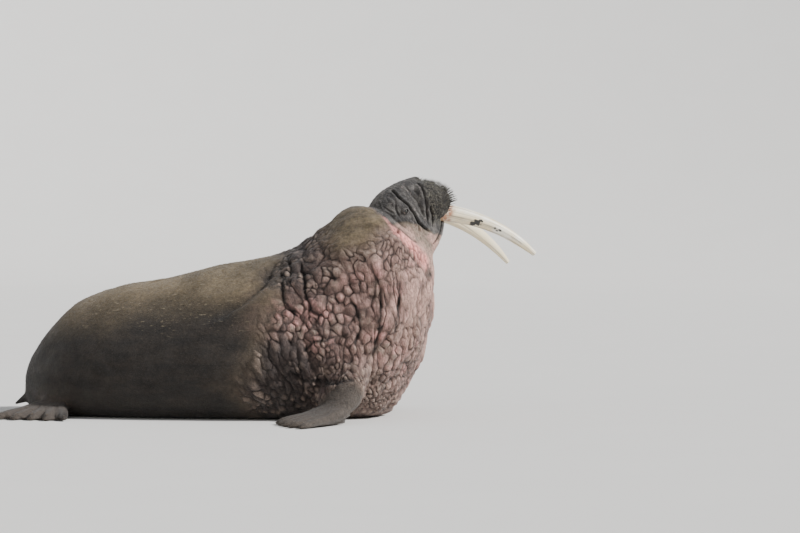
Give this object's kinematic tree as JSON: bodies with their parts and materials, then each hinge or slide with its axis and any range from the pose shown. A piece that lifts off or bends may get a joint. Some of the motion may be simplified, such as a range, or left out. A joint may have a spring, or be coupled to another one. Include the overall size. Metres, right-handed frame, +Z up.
{
  "type": "walrus",
  "caption": "Life-size bull walrus at rest on flat ground, chest propped up, head thrown back and turned, tusks held out in front.",
  "frame": {"origin": "on the ground, under the middle of the walrus's bounding box", "axes": "+X along the trunk towards the head, +Y to the walrus's left, +Z up from the ground"},
  "size_m": [2.7904, 1.9882, 1.2673],
  "materials": {
    "hide": "olive-brown hide with very short flat hair, dull",
    "bossed_hide": "thick lumpy pinkish-brown hide, dull",
    "face_hide": "dark grey-brown hide with short stubble, dull",
    "flipper_hide": "dark bare hide, dull",
    "ivory": "worn ivory, half gloss",
    "eye": "wet dark eye, gloss"
  },
  "bodies": {
    "root": {"hindquarters": "hide", "torso": "hide", "tail": "hide", "chest": "bossed_hide", "neck": "bossed_hide", "head": "face_hide", "whisker_pad_left": "face_hide", "whisker_pad_right": "face_hide", "lower_jaw": "face_hide", "fore_flipper_left": "flipper_hide", "fore_flipper_right": "flipper_hide", "hind_flipper_left": "flipper_hide", "hind_flipper_right": "flipper_hide", "tusk_left": "ivory", "tusk_right": "ivory", "eye_left": "eye", "eye_right": "eye"}
  },
  "joints": []
}
